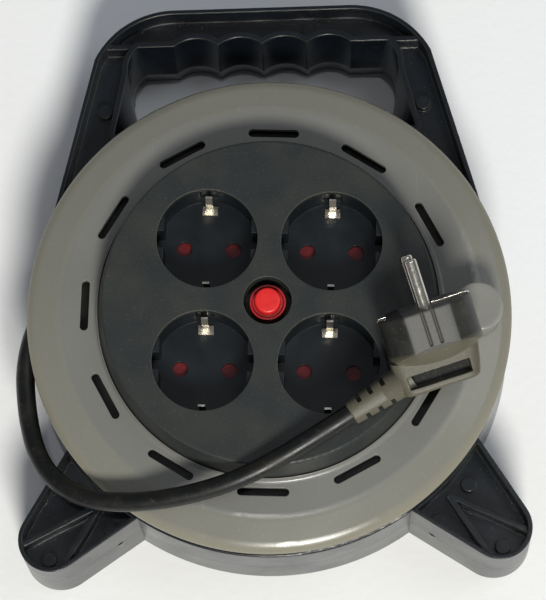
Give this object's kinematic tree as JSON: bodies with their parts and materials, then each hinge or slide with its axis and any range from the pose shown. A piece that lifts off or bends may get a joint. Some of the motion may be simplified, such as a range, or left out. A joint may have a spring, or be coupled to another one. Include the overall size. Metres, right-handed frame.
{
  "type": "extension cord reel",
  "caption": "Compact cord reel: framed drum with carrying handle and feet, winding knob, earthed sockets under shutters, thermal reset button and a cord with an angled plug.",
  "frame": {"origin": "centre of the frame's back face, on the drum's axis", "axes": "+Z along the drum's axis towards the sockets, +Y towards the handle, +X to the right"},
  "size_m": [0.2026, 0.2313, 0.1113],
  "materials": {
    "black_plastic": "moulded, fine texture",
    "grey_plastic": "moulded, satin",
    "dark_plastic": "moulded, satin",
    "inner_plastic": "moulded",
    "cutout_plastic": "moulded",
    "red_plastic": "moulded, slightly glossy",
    "contact_brass": "stamped sheet",
    "plated_spring": "nickel plated spring sheet",
    "plated_pins": "nickel plated, turned",
    "zinc_steel": "zinc plated",
    "spring_steel": "drawn wire",
    "cord_sheath": "smooth flexible sheath",
    "plug_rubber": "moulded on the cord",
    "lead_cover": "insulated leads"
  },
  "bodies": {
    "frame": {"frame_front": "black_plastic", "frame_back": "black_plastic", "frame_screws": "zinc_steel", "retaining_washer": "zinc_steel", "axle_screw": "zinc_steel"},
    "drum": {"drum_back": "grey_plastic", "drum_front": "grey_plastic", "drum_screws": "zinc_steel", "knob_pin": "zinc_steel", "socket_plate": "dark_plastic", "socket_cup_1": "black_plastic", "socket_cup_2": "black_plastic", "socket_cup_3": "black_plastic", "socket_cup_4": "black_plastic", "plate_screws": "zinc_steel", "live_bar": "contact_brass", "neutral_bar": "contact_brass", "earth_bar": "contact_brass", "earth_clip_1": "plated_spring", "earth_clip_2": "plated_spring", "earth_clip_3": "plated_spring", "earth_clip_4": "plated_spring", "contact_carrier": "inner_plastic", "carrier_cover": "inner_plastic", "carrier_screws": "zinc_steel", "cutout_body": "cutout_plastic", "reset_spring": "spring_steel", "shutter_spring_1": "spring_steel", "shutter_spring_2": "spring_steel", "shutter_spring_3": "spring_steel", "shutter_spring_4": "spring_steel", "winding_turns": "cord_sheath", "winding_core": "cord_sheath", "cord_inner_end": "cord_sheath", "cable_clamp": "inner_plastic", "clamp_screws": "zinc_steel", "inner_leads": "lead_cover", "plug_body": "plug_rubber", "plug_pins": "plated_pins", "plug_earth_contact": "plated_spring", "strain_relief": "plug_rubber", "free_cord": "cord_sheath"},
    "knob": {"winding_knob": "grey_plastic"},
    "button": {"reset_button": "red_plastic"},
    "shutter_1_body": {"shutter_1": "red_plastic"},
    "shutter_2_body": {"shutter_2": "red_plastic"},
    "shutter_3_body": {"shutter_3": "red_plastic"},
    "shutter_4_body": {"shutter_4": "red_plastic"}
  },
  "joints": [
    {"name": "drum_spin", "type": "hinge", "parent": "frame", "child": "drum", "pos_m": [0, 0, 0], "axis": [0, 0, 1], "continuous": true},
    {"name": "knob_spin", "type": "hinge", "parent": "drum", "child": "knob", "pos_m": [0.08038, -0.00435, 0], "axis": [0, 0, 1], "continuous": true},
    {"name": "reset_push", "type": "slide", "parent": "drum", "child": "button", "axis": [0, 0, -1], "range_m": [0, 0.0025], "stiffness_N_per_m": 400, "springref_m": -0.001, "deforming": ["reset_spring"]},
    {"name": "shutter_1_slide", "type": "slide", "parent": "drum", "child": "shutter_1_body", "axis": [0.0541, 0.9985, 0], "range_m": [0, 0.0064], "stiffness_N_per_m": 60, "springref_m": -0.001, "deforming": ["shutter_spring_1"]},
    {"name": "shutter_2_slide", "type": "slide", "parent": "drum", "child": "shutter_2_body", "axis": [0.0541, 0.9985, 0], "range_m": [0, 0.0064], "stiffness_N_per_m": 60, "springref_m": -0.001, "deforming": ["shutter_spring_2"]},
    {"name": "shutter_3_slide", "type": "slide", "parent": "drum", "child": "shutter_3_body", "axis": [0.0541, 0.9985, 0], "range_m": [0, 0.0064], "stiffness_N_per_m": 60, "springref_m": -0.001, "deforming": ["shutter_spring_3"]},
    {"name": "shutter_4_slide", "type": "slide", "parent": "drum", "child": "shutter_4_body", "axis": [0.0541, 0.9985, 0], "range_m": [0, 0.0064], "stiffness_N_per_m": 60, "springref_m": -0.001, "deforming": ["shutter_spring_4"]}
  ]
}
